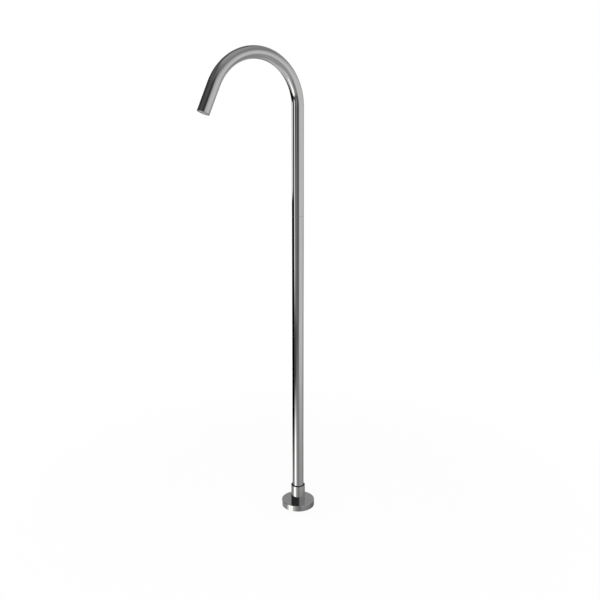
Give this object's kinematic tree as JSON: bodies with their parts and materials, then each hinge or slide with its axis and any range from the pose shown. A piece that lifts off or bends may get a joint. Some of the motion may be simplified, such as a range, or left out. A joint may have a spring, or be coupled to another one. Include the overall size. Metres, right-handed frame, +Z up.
{
  "type": "floor standing bath filler",
  "caption": "Slim floor-mounted gooseneck bath spout: round column with swivel foot, collar, loose cover flange over a screwed plate, flush aerator.",
  "frame": {"origin": "on the floor, at the column's axis", "axes": "+Z up along the column, -Y towards the outlet, +X to the right for a person who faces the outlet's back"},
  "size_m": [0.073, 0.2721, 1.004],
  "materials": {
    "polished_chrome": "polished",
    "turned_brass": "turned",
    "plated_bush": "satin",
    "black_rubber": "matte",
    "seal_rubber": "satin",
    "white_acetal": "matte",
    "red_fibre": "matte",
    "grey_acetal": "satin",
    "stainless_steel": "satin"
  },
  "bodies": {
    "base": {"floor_gasket": "black_rubber", "floor_plate": "turned_brass", "inlet_washer": "red_fibre", "collar": "polished_chrome", "collar_grub_screw": "stainless_steel", "wiper_ring": "black_rubber", "lower_slip_washer": "white_acetal", "upper_slip_washer": "white_acetal"},
    "cover": {"cover_flange": "polished_chrome", "cover_oring": "seal_rubber"},
    "spout": {"swivel_stem": "turned_brass", "lower_stem_oring": "seal_rubber", "upper_stem_oring": "seal_rubber", "riser_tube": "polished_chrome", "joint_bush": "turned_brass", "joint_nipple": "turned_brass", "joint_oring": "seal_rubber", "spout_tube": "polished_chrome", "outlet_bush": "plated_bush", "aerator_housing": "grey_acetal", "jet_former": "grey_acetal", "flow_screen": "stainless_steel", "aerator_seal": "seal_rubber"}
  },
  "joints": [
    {"name": "spout_swivel", "type": "hinge", "parent": "base", "child": "spout", "pos_m": [0, 0, 0.019], "axis": [0, 0, 1], "continuous": true},
    {"name": "cover_slide", "type": "slide", "parent": "base", "child": "cover", "axis": [0, 0, 1], "range_m": [0, 0.873]}
  ]
}
